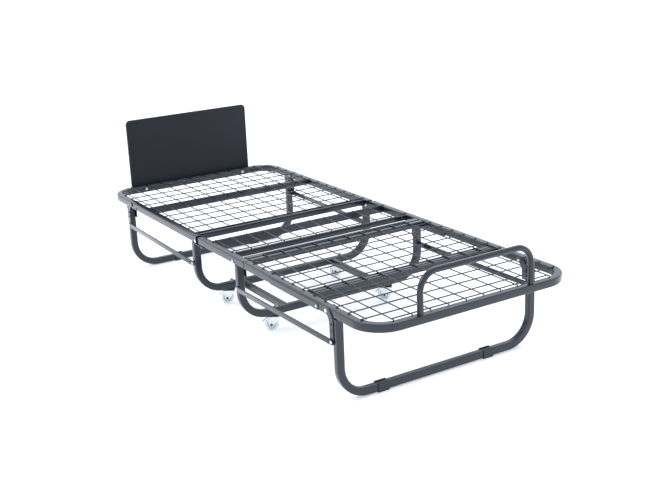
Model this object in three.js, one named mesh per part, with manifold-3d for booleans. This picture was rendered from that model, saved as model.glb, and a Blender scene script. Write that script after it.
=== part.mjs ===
// A folding cot: a steel bed frame in three sections that folds up into an upright, wheeled package.
// The middle section stands on two U legs with casters. The head and foot sections hinge up to
// stand on either side of it, and long link bars keep their end legs upright all the way.
// Millimetres, +Z up, +X towards the foot, origin on the floor under the middle of the cot.
import * as THREE from "three";
import { mergeVertices } from "three/addons/utils/BufferGeometryUtils.js";
import Module from "manifold-3d";

const wasm = await Module();
wasm.setup();

// ---------------------------------------------------------------- driving dimensions
const LENGTH = 1950; // outside of the head rail to outside of the foot rail
const WIDTH = 765; // outside of one side rail to outside of the other
const DECK_TOP = 296; // top of the rails
const RAIL = 25.4; // square rail tube, one inch
const LEG_THICK = 22; // leg tube along X; it is one rail wide across
const WALL = 1.5; // wall of every tube
const CHAMFER = 2; // rounding of a tube's long edges
const RAIL_BEND = 102; // outside of the rails' corner bends
const LEG_BEND = 95; // middle of the legs' bends
const GAP = 0.3; // between pieces that touch

const BOARD_STANDOFF = 6; // headboard clear of the head rail, so that it closes over the foot rail
const BOARD_THICK = 9;
const BOARD_BOTTOM = 262;
const BOARD_TOP = 576;
const BOARD_WIDTH = 560;
const BOARD_CORNER = 18;
const BOLT_HEAD = 3;

const HEAD_X = (BOARD_STANDOFF + BOARD_THICK + BOLT_HEAD - LENGTH) / 2; // outside of the head rail
const FOOT_X = HEAD_X + LENGTH; // outside of the foot rail
const SIDE_Y = WIDTH / 2;
const SIDES = { near: -1, far: 1 };

const FOLD_REACH = 830; // fold hinge to the section's own end
const HEAD_HINGE_X = HEAD_X + FOLD_REACH;
const FOOT_HINGE_X = FOOT_X - FOLD_REACH;
const HINGE_Z = 277;
const HEAD_RAIL_END_X = HEAD_HINGE_X + 6;
const MID_RAIL_START_X = HEAD_HINGE_X + 25;
const MID_RAIL_END_X = FOOT_HINGE_X + 80;
const FOOT_RAIL_START_X = MID_RAIL_END_X + 3.5;

const LEG_INSET = 193; // end leg's middle to the end of the cot
const PIVOT_INSET = 234; // end leg's pivot to the end of the cot
const PIVOT_Z = DECK_TOP - RAIL / 2;
const HEAD_SIDE_LEG_X = HEAD_X + 807;
const FOOT_SIDE_LEG_X = HEAD_X + 1143;
const END_LEG_TOP = 266.4;
const PAD_THICK = 2.5;
const CART_BAR_BOTTOM = 62; // under the middle legs' floor bars, where the casters go

const LINK_SHIFT = 28; // link pin beyond the hinge or the pivot, towards the cot's end
const LINK_DROP = 90; // link pin below the hinge or the pivot
const LINK_HEIGHT = 18;
const PLATE = 2.5; // brackets and splice plates
const LINK_THICK = 3;

const PIN_R = 2.8;
const PIN_HOLE_R = 3.2;
const LINK_HOLE_R = 3.4; // clearance hole for the link's outer pin
const PIN_HEAD_R = 6.5;
const PIN_HEAD = 2.2;

const WIRE = 4;
const WIRE_PITCH_Y = 65;
const WIRES_PER_SIDE = 5;
const EDGE_WIRE_Y = SIDE_Y - 33;
const WIRE_SEAT = 8; // how far a wire's end lies on the rail's top

const STEM_Y = 238.5; // casters' swivel axes
const TRAIL = 18.5;
const HEADING = THREE.MathUtils.degToRad(238); // where the casters trail to at rest
const WHEEL_R = 24;
const WHEEL_WIDTH = 18;

// ---------------------------------------------------------------- materials
const metal = (color, roughness) => new THREE.MeshStandardMaterial({ color, roughness, metalness: 0.6 });
const FRAME_PAINT = metal(0x50565f, 0.45);
const ZINC = metal(0xb9bdc2, 0.35);
const BOARD = new THREE.MeshStandardMaterial({ color: 0x30343c, roughness: 0.6, metalness: 0 });
const PAD_PLASTIC = new THREE.MeshStandardMaterial({ color: 0x24272b, roughness: 0.7, metalness: 0 });
const WHEEL_PLASTIC = new THREE.MeshStandardMaterial({ color: 0xdfe7e8, roughness: 0.3, metalness: 0 });

// ---------------------------------------------------------------- solids
const signedVolume = (geometry) => {
  const p = geometry.attributes.position;
  const index = geometry.index;
  const [a, b, c] = [new THREE.Vector3(), new THREE.Vector3(), new THREE.Vector3()];
  let sum = 0;
  for (let i = 0; i < index.count; i += 3) {
    a.fromBufferAttribute(p, index.getX(i));
    b.fromBufferAttribute(p, index.getX(i + 1));
    c.fromBufferAttribute(p, index.getX(i + 2));
    sum += a.dot(b.cross(c));
  }
  return sum;
};

// A closed three.js geometry as a manifold solid, with its faces turned outwards.
const solid = (source) => {
  const geometry = source.clone();
  geometry.deleteAttribute("normal");
  geometry.deleteAttribute("uv");
  const merged = mergeVertices(geometry, 1e-4);
  const triVerts = Uint32Array.from(merged.index.array);
  if (signedVolume(merged) < 0) {
    for (let i = 0; i < triVerts.length; i += 3) {
      [triVerts[i + 1], triVerts[i + 2]] = [triVerts[i + 2], triVerts[i + 1]];
    }
  }
  const vertProperties = Float32Array.from(merged.attributes.position.array);
  return new wasm.Manifold(new wasm.Mesh({ numProp: 3, vertProperties, triVerts }));
};

const join = (...solids) => solids.reduce((sum, next) => sum.add(next));
const cut = (body, ...tools) => tools.reduce((sum, next) => sum.subtract(next), body);

const toGeometry = (body) => {
  const { vertProperties, triVerts } = body.asOriginal().simplify(0.01).getMesh();
  const geometry = new THREE.BufferGeometry();
  geometry.setAttribute("position", new THREE.BufferAttribute(vertProperties, 3));
  geometry.setIndex(new THREE.BufferAttribute(triVerts, 1));
  geometry.computeVertexNormals();
  return geometry;
};

const box = ([x0, x1], [y0, y1], [z0, z1]) => {
  const geometry = new THREE.BoxGeometry(x1 - x0, y1 - y0, z1 - z0);
  geometry.translate((x0 + x1) / 2, (y0 + y1) / 2, (z0 + z1) / 2);
  return solid(geometry);
};

// A round bar along one axis, from a to b on it, through the point given by the other two.
const roundBar = (axis, [a, b], centre, radius, sides = 12) => {
  const geometry = new THREE.CylinderGeometry(radius, radius, b - a, sides);
  if (axis === "x") geometry.rotateZ(Math.PI / 2);
  if (axis === "z") geometry.rotateX(Math.PI / 2);
  const place = new THREE.Vector3(centre.x ?? 0, centre.y ?? 0, centre.z ?? 0);
  place[axis] = (a + b) / 2;
  geometry.translate(place.x, place.y, place.z);
  return solid(geometry);
};

// A path of straight runs with round bends, with a station at both ends of every bend.
class BentPath extends THREE.Curve {
  constructor(corners, radius, stepsPerBend) {
    super();
    const runs = corners.slice(1).map((corner, i) => corner.clone().sub(corners[i]).normalize());
    this.stations = [{ point: corners[0], tangent: runs[0] }];
    for (let i = 1; i < corners.length - 1; i += 1) {
      const [into, out] = [runs[i - 1], runs[i]];
      const turn = into.angleTo(out);
      const inward = out.clone().addScaledVector(into, -Math.cos(turn)).normalize();
      const start = corners[i].clone().addScaledVector(into, -radius * Math.tan(turn / 2));
      const centre = start.clone().addScaledVector(inward, radius);
      for (let k = 0; k <= stepsPerBend; k += 1) {
        const angle = (turn * k) / stepsPerBend;
        const point = centre.clone().addScaledVector(inward, -radius * Math.cos(angle));
        point.addScaledVector(into, radius * Math.sin(angle));
        const tangent = into.clone().multiplyScalar(Math.cos(angle));
        tangent.addScaledVector(inward, Math.sin(angle));
        this.stations.push({ point, tangent });
      }
    }
    this.stations.push({ point: corners.at(-1), tangent: runs.at(-1) });
  }
  getSpacedPoints() {
    return this.stations.map(({ point }) => point.clone());
  }
  getTangentAt(u) {
    return this.stations[Math.round(u * (this.stations.length - 1))].tangent.clone();
  }
}

const sweep = (section, corners, radius = 0, stepsPerBend = 5) => {
  const path = new BentPath(corners.map((c) => new THREE.Vector3(...c)), radius, stepsPerBend);
  const steps = path.stations.length - 1;
  return solid(new THREE.ExtrudeGeometry(section, { extrudePath: path, steps, curveSegments: 8 }));
};

// The cross-section of a rectangular tube with chamfered edges, open inside.
const tubeSection = (high, wide) => {
  const [h, w] = [high / 2, wide / 2];
  const [hc, wc] = [h - CHAMFER, w - CHAMFER];
  const section = new THREE.Shape();
  section.moveTo(-hc, -w).lineTo(hc, -w).lineTo(h, -wc).lineTo(h, wc);
  section.lineTo(hc, w).lineTo(-hc, w).lineTo(-h, wc).lineTo(-h, -wc).closePath();
  const bore = new THREE.Path();
  const [hb, wb] = [h - WALL, w - WALL];
  bore.moveTo(-hb, -wb).lineTo(-hb, wb).lineTo(hb, wb).lineTo(hb, -wb).closePath();
  section.holes.push(bore);
  return section;
};

const tube = (from, to, high, wide) => sweep(tubeSection(high, wide), [from, to]);

// A flat plate in the XZ plane between two depths, measured inwards from the cot's side.
const inwards = (side, depth) => side * (SIDE_Y - depth);
const depthBand = (side, d0, d1) => [inwards(side, d0), inwards(side, d1)].sort((a, b) => a - b);
const sidePlate = (outline, side, d0, d1) => {
  const [y0, y1] = depthBand(side, d0, d1);
  const geometry = new THREE.ExtrudeGeometry(outline, {
    depth: y1 - y0, bevelEnabled: false, curveSegments: 8,
  });
  geometry.rotateX(Math.PI / 2);
  geometry.translate(0, y1, 0);
  return solid(geometry);
};
const pinHole = (side, x, z, d0, d1, radius = PIN_HOLE_R) =>
  roundBar("y", depthBand(side, d0, d1), { x, z }, radius);

// ---------------------------------------------------------------- the scene graph
const cot = new THREE.Group();
const section = (name) => {
  const group = new THREE.Group();
  group.name = name;
  cot.add(group);
  return group;
};
const cart = section("cart");
const headSection = section("head_section");
const footSection = section("foot_section");
const legsAndLinks = section("legs_and_links");
const casters = section("casters");

const add = (group, name, body, material = FRAME_PAINT) => {
  const mesh = new THREE.Mesh(toGeometry(body), material);
  mesh.name = name;
  group.add(mesh);
};
const onBothSides = (make) => Object.entries(SIDES).forEach(([name, side]) => make(side, name));

// A cross bar between the two side rails, its top level with theirs.
const crossBar = (xStart, wide, high, endDepth = RAIL + GAP) => {
  const reach = SIDE_Y - endDepth;
  const [x, z] = [xStart + wide / 2, DECK_TOP - high / 2];
  return tube([x, -reach, z], [x, reach, z], high, wide);
};

// The hinge pin: a rivet whose heads lie on both faces that it holds together.
const rivet = (side, x, z, dOuter, dInner) => join(
  roundBar("y", depthBand(side, dOuter - PIN_HEAD, dInner + PIN_HEAD), { x, z }, PIN_R),
  roundBar("y", depthBand(side, dOuter - PIN_HEAD, dOuter), { x, z }, PIN_HEAD_R),
  roundBar("y", depthBand(side, dInner, dInner + PIN_HEAD), { x, z }, PIN_HEAD_R),
);

// ---------------------------------------------------------------- U-shaped tubes
const RAIL_MID_Y = SIDE_Y - RAIL / 2;
const railFrame = (openX, closedX, endSign) => {
  const x = closedX - (endSign * RAIL) / 2;
  const corners = [[openX, -RAIL_MID_Y], [x, -RAIL_MID_Y], [x, RAIL_MID_Y], [openX, RAIL_MID_Y]];
  const path = corners.map(([cx, cy]) => [cx, cy, PIVOT_Z]);
  return sweep(tubeSection(RAIL, RAIL), path, RAIL_BEND - RAIL / 2);
};
const legFrame = (x, top, bottom) => {
  const z = bottom + RAIL / 2;
  const corners = [[-RAIL_MID_Y, top], [-RAIL_MID_Y, z], [RAIL_MID_Y, z], [RAIL_MID_Y, top]];
  return sweep(tubeSection(RAIL, LEG_THICK), corners.map(([y, cz]) => [x, y, cz]), LEG_BEND);
};

// ---------------------------------------------------------------- wire decks
const bandAround = (middle) => [middle - WIRE / 2, middle + WIRE / 2];
const WIRE_Z = [DECK_TOP + GAP, DECK_TOP + GAP + WIRE];
const RAIL_SEAT_Y = SIDE_Y - RAIL + WIRE_SEAT;
const LAST_WIRE_Y = WIRE_PITCH_Y * (WIRES_PER_SIDE - 0.5);

// long: the wires' ends along X. edge: the two outer wires' ends.
// cross: [x, half reach] of each cross wire.
const wireDeck = (long, edge, cross) => {
  const wires = [];
  for (let i = 0; i < WIRES_PER_SIDE; i += 1) {
    const y = WIRE_PITCH_Y * (i + 0.5);
    wires.push(box(long, bandAround(y), WIRE_Z), box(long, bandAround(-y), WIRE_Z));
  }
  wires.push(box(edge, bandAround(EDGE_WIRE_Y), WIRE_Z), box(edge, bandAround(-EDGE_WIRE_Y), WIRE_Z));
  for (const [x, reach] of cross) wires.push(box(bandAround(x), [-reach, reach], WIRE_Z));
  return join(...wires);
};
const crossWires = (first, pitch, count, reach) =>
  Array.from({ length: count }, (_, i) => [first + pitch * i, reach]);

// ---------------------------------------------------------------- middle section and cart
const LEG_FLANGE = [265.1, 267.6]; // plate between the head-side leg and the hinge
const CHEEK_R = 9.5;
const CHEEK_END = 75; // cheek's far end beyond the hinge

const hingeBracket = (side) => {
  const [x, z] = [HEAD_HINGE_X, HINGE_Z];
  const cheek = new THREE.Shape();
  cheek.moveTo(x + CHEEK_END, LEG_FLANGE[0]).lineTo(x + CHEEK_END, z + CHEEK_R).lineTo(x, z + CHEEK_R);
  cheek.absarc(x, z, CHEEK_R, Math.PI / 2, Math.PI, false);
  cheek.lineTo(x - CHEEK_R, LEG_FLANGE[0]).closePath();
  const inner = RAIL + GAP + PLATE;
  const plate = sidePlate(cheek, side, RAIL + GAP, inner);
  const flangeX = [HEAD_SIDE_LEG_X - LEG_THICK / 2, x + CHEEK_END];
  const flange = box(flangeX, depthBand(side, 0, inner), LEG_FLANGE);
  return cut(join(plate, flange), pinHole(side, x, z, RAIL, inner + 1));
};

// A middle leg, with sockets for the caster stems and a hole in each upright for the link's pin.
const cartLeg = (x, top, linkX) => {
  const stems = [-STEM_Y, STEM_Y].map((y) =>
    roundBar("z", [CART_BAR_BOTTOM - 1, CART_BAR_BOTTOM + 2 * WALL], { x, y }, 5.5));
  const pins = Object.values(SIDES).map((side) => pinHole(side, linkX, HINGE_Z - LINK_DROP, -1, 2 * WALL));
  return cut(legFrame(x, top, CART_BAR_BOTTOM), ...stems, ...pins);
};

const SLAT_X = HEAD_X + 938; // upright face of the angle bar
const slatBar = () => {
  const reach = [RAIL + GAP - SIDE_Y, SIDE_Y - RAIL - GAP];
  const upright = box([SLAT_X - PLATE, SLAT_X], reach, [DECK_TOP - RAIL, DECK_TOP]);
  const foot = box([SLAT_X - 23, SLAT_X], reach, [DECK_TOP - RAIL, DECK_TOP - RAIL + PLATE]);
  return join(upright, foot);
};

const ARM_DEPTH = [RAIL + GAP, RAIL + GAP + PLATE]; // foot section's hinge arms
const CARRIER_DEPTH = ARM_DEPTH[1] + 0.4; // cross bars that lie between the arms end here
const END_BAR_X = FOOT_HINGE_X + 32;
const endBar = () => {
  const bar = crossBar(END_BAR_X, 25, 20, CARRIER_DEPTH);
  const gussets = Object.values(SIDES).flatMap((side) => {
    const legFaceX = FOOT_SIDE_LEG_X - 7;
    const plate = depthBand(side, CARRIER_DEPTH, CARRIER_DEPTH + PLATE);
    const weld = depthBand(side, RAIL + GAP, CARRIER_DEPTH + PLATE);
    return [
      box([legFaceX, legFaceX + 23], plate, [225, DECK_TOP - 19]),
      box([legFaceX, legFaceX + 16], weld, [225, 245]),
    ];
  });
  return join(bar, ...gussets);
};

const BRACE_Y = 196.5;
const BRACE_HIGH = 25;
const BRACE_WIDE = 16;
const brace = (side) => {
  const z = CART_BAR_BOTTOM + RAIL / 2;
  const [from, to] = [HEAD_SIDE_LEG_X + LEG_THICK / 2 + GAP, FOOT_SIDE_LEG_X - LEG_THICK / 2 - GAP];
  return tube([from, side * BRACE_Y, z], [to, side * BRACE_Y, z], BRACE_HIGH, BRACE_WIDE);
};

onBothSides((side, name) => {
  const y = side * RAIL_MID_Y;
  const rail = tube([MID_RAIL_START_X, y, PIVOT_Z], [MID_RAIL_END_X, y, PIVOT_Z], RAIL, RAIL);
  const hole = pinHole(side, FOOT_HINGE_X, HINGE_Z, -1, RAIL + 1);
  add(cart, `mid_rail_${name}`, cut(rail, hole));
  add(cart, `head_hinge_bracket_${name}`, hingeBracket(side));
  const cheekInside = RAIL + GAP + PLATE;
  add(cart, `head_hinge_pin_${name}`, rivet(side, HEAD_HINGE_X, HINGE_Z, -GAP, cheekInside + GAP), ZINC);
  add(cart, `foot_hinge_pin_${name}`, rivet(side, FOOT_HINGE_X, HINGE_Z, -GAP, ARM_DEPTH[1] + GAP), ZINC);
  add(cart, `leg_brace_${name}`, brace(side));
});
add(cart, "mid_slat_bar", slatBar());
add(cart, "mid_cross_bar", crossBar(HEAD_X + 1086, 12, 20));
add(cart, "mid_end_bar", endBar());
add(cart, "mid_wire_deck", wireDeck([HEAD_X + 930, HEAD_X + 1091], [HEAD_X + 930, HEAD_X + 1091], [
  [HEAD_X + 937, RAIL_SEAT_Y], [HEAD_X + 1082, RAIL_SEAT_Y],
]));
add(cart, "head_side_cart_leg", cartLeg(HEAD_SIDE_LEG_X, LEG_FLANGE[0] - GAP, HEAD_HINGE_X - LINK_SHIFT));
const FOOT_SIDE_LEG_TOP = DECK_TOP - RAIL - GAP;
add(cart, "foot_side_cart_leg", cartLeg(FOOT_SIDE_LEG_X, FOOT_SIDE_LEG_TOP, FOOT_HINGE_X + LINK_SHIFT));

// ---------------------------------------------------------------- head section
const BOLT_Y = 230;
const boltHole = (y, from, to) => roundBar("x", [from, to], { y, z: PIVOT_Z }, PIN_HOLE_R);

const headFrame = () => {
  const holes = Object.values(SIDES).flatMap((side) => [
    pinHole(side, HEAD_HINGE_X, HINGE_Z, -1, RAIL + 1),
    pinHole(side, HEAD_X + PIVOT_INSET, PIVOT_Z, -1, RAIL + 1),
    boltHole(side * BOLT_Y, HEAD_X - 1, HEAD_X + RAIL + 1),
  ]);
  return cut(railFrame(HEAD_RAIL_END_X, HEAD_X, -1), ...holes);
};

const headboard = () => {
  const y = BOARD_WIDTH / 2 - BOARD_CORNER;
  const [low, high] = [BOARD_BOTTOM + BOARD_CORNER, BOARD_TOP - BOARD_CORNER];
  const outline = new THREE.Shape();
  outline.moveTo(-y, BOARD_BOTTOM).lineTo(y, BOARD_BOTTOM);
  outline.absarc(y, low, BOARD_CORNER, -Math.PI / 2, 0, false);
  outline.absarc(y, high, BOARD_CORNER, 0, Math.PI / 2, false);
  outline.absarc(-y, high, BOARD_CORNER, Math.PI / 2, Math.PI, false);
  outline.absarc(-y, low, BOARD_CORNER, Math.PI, 1.5 * Math.PI, false);
  const geometry = new THREE.ExtrudeGeometry(outline, {
    depth: BOARD_THICK, bevelEnabled: false, curveSegments: 6,
  });
  geometry.rotateX(Math.PI / 2);
  geometry.rotateZ(Math.PI / 2);
  const back = HEAD_X - BOARD_STANDOFF - BOARD_THICK;
  geometry.translate(back, 0, 0);
  const holes = [-BOLT_Y, BOLT_Y].map((boltY) => boltHole(boltY, back - 1, HEAD_X));
  return cut(solid(geometry), ...holes);
};

// A through bolt with its domed head behind the board, a spacer and a nut inside the rail.
const BOLT_HEAD_R = 8;
const NUT_R = 5.8;
const NUT_THICK = 5;
const headboardBolt = (y) => {
  const head = HEAD_X - BOARD_STANDOFF - BOARD_THICK - BOLT_HEAD;
  const nut = HEAD_X + RAIL + GAP;
  const at = { y, z: PIVOT_Z };
  return join(
    roundBar("x", [head, nut + NUT_THICK + 1.5], at, PIN_R),
    roundBar("x", [head, head + BOLT_HEAD - GAP], at, BOLT_HEAD_R),
    roundBar("x", [HEAD_X - BOARD_STANDOFF + GAP, HEAD_X - GAP], at, BOLT_HEAD_R),
    roundBar("x", [nut, nut + NUT_THICK], at, NUT_R, 6),
  );
};

add(headSection, "head_frame", headFrame());
add(headSection, "head_cross_bar", crossBar(HEAD_X + 360, 40, 20));
add(headSection, "head_end_bar", crossBar(HEAD_X + 797, 22, 22));
add(headSection, "head_wire_deck", wireDeck([HEAD_X + 18, HEAD_X + 806], [HEAD_X + 62, HEAD_X + 806], [
  [HEAD_X + 57.5, SIDE_Y - 36], ...crossWires(HEAD_X + 125, 67.5, 11, RAIL_SEAT_Y),
]));
add(headSection, "headboard", headboard(), BOARD);
onBothSides((side, name) => add(headSection, `headboard_bolt_${name}`, headboardBolt(side * BOLT_Y), ZINC));

// ---------------------------------------------------------------- foot section
const footFrame = () => {
  const holes = Object.values(SIDES).map((side) =>
    pinHole(side, FOOT_X - PIVOT_INSET, PIVOT_Z, -1, RAIL + 1));
  return cut(railFrame(FOOT_RAIL_START_X, FOOT_X, 1), ...holes);
};

const ARM_R = 10;
const hingeArm = (side) => {
  const [x, z, end] = [FOOT_HINGE_X, HINGE_Z, FOOT_RAIL_START_X + 126];
  const outline = new THREE.Shape();
  outline.moveTo(end, z - ARM_R).lineTo(end, z + ARM_R).lineTo(x, z + ARM_R);
  outline.absarc(x, z, ARM_R, Math.PI / 2, 1.5 * Math.PI, false);
  outline.closePath();
  return cut(sidePlate(outline, side, ...ARM_DEPTH), pinHole(side, x, z, RAIL, ARM_DEPTH[1] + 1));
};

const HANDLE_R = 9.5;
const HANDLE_Y = 207;
const HANDLE_Z = 419;
const HANDLE_BEND = 58;
const handle = () => {
  const ring = new THREE.Shape().absarc(0, 0, HANDLE_R, 0, 2 * Math.PI, false);
  ring.holes.push(new THREE.Path().absarc(0, 0, HANDLE_R - WALL, 0, 2 * Math.PI, true));
  const [x, low] = [FOOT_X - RAIL / 2, DECK_TOP + GAP];
  const corners = [[-HANDLE_Y, low], [-HANDLE_Y, HANDLE_Z], [HANDLE_Y, HANDLE_Z], [HANDLE_Y, low]];
  return sweep(ring, corners.map(([y, z]) => [x, y, z]), HANDLE_BEND);
};

add(footSection, "foot_frame", footFrame());
add(footSection, "foot_first_bar", crossBar(FOOT_HINGE_X + 63, 20, 20, CARRIER_DEPTH));
add(footSection, "foot_cross_bar", crossBar(HEAD_X + 1562, 40, 20));
add(footSection, "foot_handle", handle());
add(footSection, "foot_wire_deck", wireDeck([HEAD_X + 1170, FOOT_X - 22], [HEAD_X + 1231, FOOT_X - 74], [
  [HEAD_X + 1174, LAST_WIRE_Y + WIRE / 2], ...crossWires(HEAD_X + 1237, 63.3, 11, RAIL_SEAT_Y),
  [FOOT_X - 33, LAST_WIRE_Y + WIRE / 2],
]));
const SPLICE_X = [HEAD_X + 1380, HEAD_X + 1672]; // flat plate on the outside of each foot rail
const SPLICE_Z = [271, 290];
const SPLICE_THICK = 1.5;
onBothSides((side, name) => {
  add(footSection, `foot_hinge_arm_${name}`, hingeArm(side));
  const splice = box(SPLICE_X, depthBand(side, -GAP - SPLICE_THICK, -GAP), SPLICE_Z);
  add(footSection, `foot_splice_plate_${name}`, splice);
});

// ---------------------------------------------------------------- end legs, their brackets and pads
const LEG_U = [PIVOT_INSET - LEG_INSET - LEG_THICK / 2, PIVOT_INSET - LEG_INSET + LEG_THICK / 2];
const BRACKET_R = 12.5; // round the pivot
const STRIP_R = 10; // half the width of the cheek's strip down the leg, and its round end
const CURVE_DROP = 36; // how far below the pivot the cheek has curved into its strip
const CHEEK_BOTTOM = 222; // lower end of the inner cheek

// One cheek of an end leg's bracket. u runs from the pivot towards the cot's end.
const bracketCheek = (pivotX, endSign, reachesLink) => {
  const X = (u) => pivotX + endSign * u;
  const [near, far] = [X(LINK_SHIFT - STRIP_R), X(LINK_SHIFT + STRIP_R)];
  const pinZ = PIVOT_Z - LINK_DROP;
  const [towardsHinge, towardsEnd] = endSign > 0 ? [Math.PI, 0] : [0, Math.PI];
  const outline = new THREE.Shape();
  outline.moveTo(X(-BRACKET_R), PIVOT_Z);
  outline.absarc(pivotX, PIVOT_Z, BRACKET_R, towardsHinge, Math.PI / 2, endSign > 0);
  outline.quadraticCurveTo(far, PIVOT_Z + BRACKET_R, far, PIVOT_Z - CURVE_DROP);
  if (reachesLink) {
    outline.lineTo(far, pinZ);
    outline.absarc(X(LINK_SHIFT), pinZ, STRIP_R, towardsEnd, towardsEnd - endSign * Math.PI, endSign > 0);
  } else {
    outline.lineTo(far, CHEEK_BOTTOM).lineTo(near, CHEEK_BOTTOM);
  }
  outline.lineTo(near, PIVOT_Z - CURVE_DROP);
  outline.quadraticCurveTo(near, PIVOT_Z - BRACKET_R, X(-BRACKET_R), PIVOT_Z);
  return outline;
};

// The stamped bracket straddles the rail and the leg; the pivot rivet is fixed in its cheeks.
const legBracket = (side, pivotX, endSign) => {
  const [outer, inner] = [-GAP - PLATE, RAIL + GAP + PLATE];
  const across = [pivotX + endSign * LEG_U[0], pivotX + endSign * LEG_U[1]].sort((a, b) => a - b);
  const bracket = join(
    sidePlate(bracketCheek(pivotX, endSign, true), side, outer, -GAP),
    sidePlate(bracketCheek(pivotX, endSign, false), side, RAIL + GAP, inner),
    box(across, depthBand(side, outer, inner), [END_LEG_TOP + GAP, END_LEG_TOP + GAP + PLATE]),
    rivet(side, pivotX, PIVOT_Z, outer, inner),
  );
  const [linkX, linkZ] = [pivotX + endSign * LINK_SHIFT, PIVOT_Z - LINK_DROP];
  return cut(bracket, pinHole(side, linkX, linkZ, outer - 1, 0, LINK_HOLE_R));
};

// A plastic clip round the floor bar, open along its top.
const PAD_WIDTH = 39;
const footPad = (x, y) => {
  const [half, top] = [LEG_THICK / 2 + GAP, PAD_THICK + GAP + RAIL + GAP];
  const yBand = [y - PAD_WIDTH / 2, y + PAD_WIDTH / 2];
  const through = [yBand[0] - 1, yBand[1] + 1];
  const shell = box([x - half - PAD_THICK, x + half + PAD_THICK], yBand, [0, top + PAD_THICK]);
  const bar = box([x - half, x + half], through, [PAD_THICK, top]);
  return cut(shell, bar, box([x - 6, x + 6], through, [top - 1, top + PAD_THICK + 1]));
};

const endLeg = (name, endX, endSign, padYs) => {
  const legX = endX - endSign * LEG_INSET;
  const pivotX = endX - endSign * PIVOT_INSET;
  add(legsAndLinks, `${name}_leg`, legFrame(legX, END_LEG_TOP, PAD_THICK + GAP));
  onBothSides((side, sideName) => {
    add(legsAndLinks, `${name}_leg_bracket_${sideName}`, legBracket(side, pivotX, endSign));
    const padY = side < 0 ? padYs[0] : padYs[1];
    add(legsAndLinks, `${name}_leg_pad_${sideName}`, footPad(legX, padY), PAD_PLASTIC);
  });
};
endLeg("head", HEAD_X, -1, [-180, 180]);
endLeg("foot", FOOT_X, 1, [-223, 185]);

// ---------------------------------------------------------------- link bars
const LINK_DEPTH = [-2 * GAP - PLATE - LINK_THICK, -2 * GAP - PLATE];
const linkBar = (side, hingeX, pivotX, endSign) => {
  const a = new THREE.Vector2(hingeX + endSign * LINK_SHIFT, HINGE_Z - LINK_DROP);
  const b = new THREE.Vector2(pivotX + endSign * LINK_SHIFT, PIVOT_Z - LINK_DROP);
  const r = LINK_HEIGHT / 2;
  const slope = Math.atan2(b.y - a.y, b.x - a.x);
  const outline = new THREE.Shape();
  outline.absarc(b.x, b.y, r, slope - Math.PI / 2, slope + Math.PI / 2, false);
  outline.absarc(a.x, a.y, r, slope + Math.PI / 2, slope + 1.5 * Math.PI, false);
  outline.closePath();
  const head = LINK_DEPTH[0] - PIN_HEAD;
  return join(
    sidePlate(outline, side, ...LINK_DEPTH),
    roundBar("y", depthBand(side, head, 2 * WALL), { x: a.x, z: a.y }, PIN_R),
    roundBar("y", depthBand(side, LINK_DEPTH[1] - 1, -GAP), { x: a.x, z: a.y }, 5.5),
    roundBar("y", depthBand(side, head, LINK_DEPTH[0] + 1), { x: a.x, z: a.y }, PIN_HEAD_R - 1),
    roundBar("y", depthBand(side, head, -GAP), { x: b.x, z: b.y }, PIN_R),
    roundBar("y", depthBand(side, head, LINK_DEPTH[0] + 1), { x: b.x, z: b.y }, PIN_HEAD_R - 1),
  );
};
onBothSides((side, name) => {
  add(legsAndLinks, `head_link_${name}`, linkBar(side, HEAD_HINGE_X, HEAD_X + PIVOT_INSET, -1));
  add(legsAndLinks, `foot_link_${name}`, linkBar(side, FOOT_HINGE_X, FOOT_X - PIVOT_INSET, 1));
});

// ---------------------------------------------------------------- casters
// Each caster is drawn about its own swivel axis, trailing towards +X, and then turned and placed.
const CROWN = [53, 56]; // top plate of the fork
const CUP = [55.9, CART_BAR_BOTTOM - GAP]; // swivel housing
const FORK_X = [-10, 34]; // fork's top, from the swivel axis
const FORK_Y = [10, 12]; // fork plate, from the wheel's middle plane
const LEVER_HINGE = { x: 30, z: 50 };
const LEVER_REACH = 52;
const LEVER_HALF = 8;

const casterFork = () => {
  const cheek = new THREE.Shape();
  const outline = [
    [FORK_X[0], 50], [TRAIL - 7, 20], [TRAIL - 4, 17], [TRAIL + 4, 17], [TRAIL + 7, 20],
    [FORK_X[1], 46], [FORK_X[1], CROWN[0] + 0.1], [FORK_X[0], CROWN[0] + 0.1],
  ];
  cheek.setFromPoints(outline.map(([x, z]) => new THREE.Vector2(x, z)));
  const cheeks = [-1, 1].map((hand) => {
    const depth = FORK_Y[1] - FORK_Y[0];
    const geometry = new THREE.ExtrudeGeometry(cheek, { depth, bevelEnabled: false });
    geometry.rotateX(Math.PI / 2);
    geometry.translate(0, hand > 0 ? FORK_Y[1] : -FORK_Y[0], 0);
    return solid(geometry);
  });
  const body = join(
    ...cheeks,
    box(FORK_X, [-FORK_Y[1], FORK_Y[1]], CROWN),
    roundBar("z", CUP, {}, 12, 16),
    roundBar("z", [CUP[0], CART_BAR_BOTTOM + 14], {}, 5),
    roundBar("y", [-14, 14], { x: TRAIL, z: WHEEL_R }, 2.9),
  );
  return body;
};

const casterWheel = () => {
  const [half, bore] = [WHEEL_WIDTH / 2, 3.3];
  const profile = [
    [bore, -half], [16, -half], [17, -half + 1.5], [WHEEL_R - 2, -half + 1.5], [WHEEL_R, -half + 4],
    [WHEEL_R, half - 4], [WHEEL_R - 2, half - 1.5], [17, half - 1.5], [16, half], [bore, half],
    [bore, -half],
  ];
  const geometry = new THREE.LatheGeometry(profile.map(([r, w]) => new THREE.Vector2(r, w)), 20);
  geometry.translate(TRAIL, 0, WHEEL_R);
  return solid(geometry);
};

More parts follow.
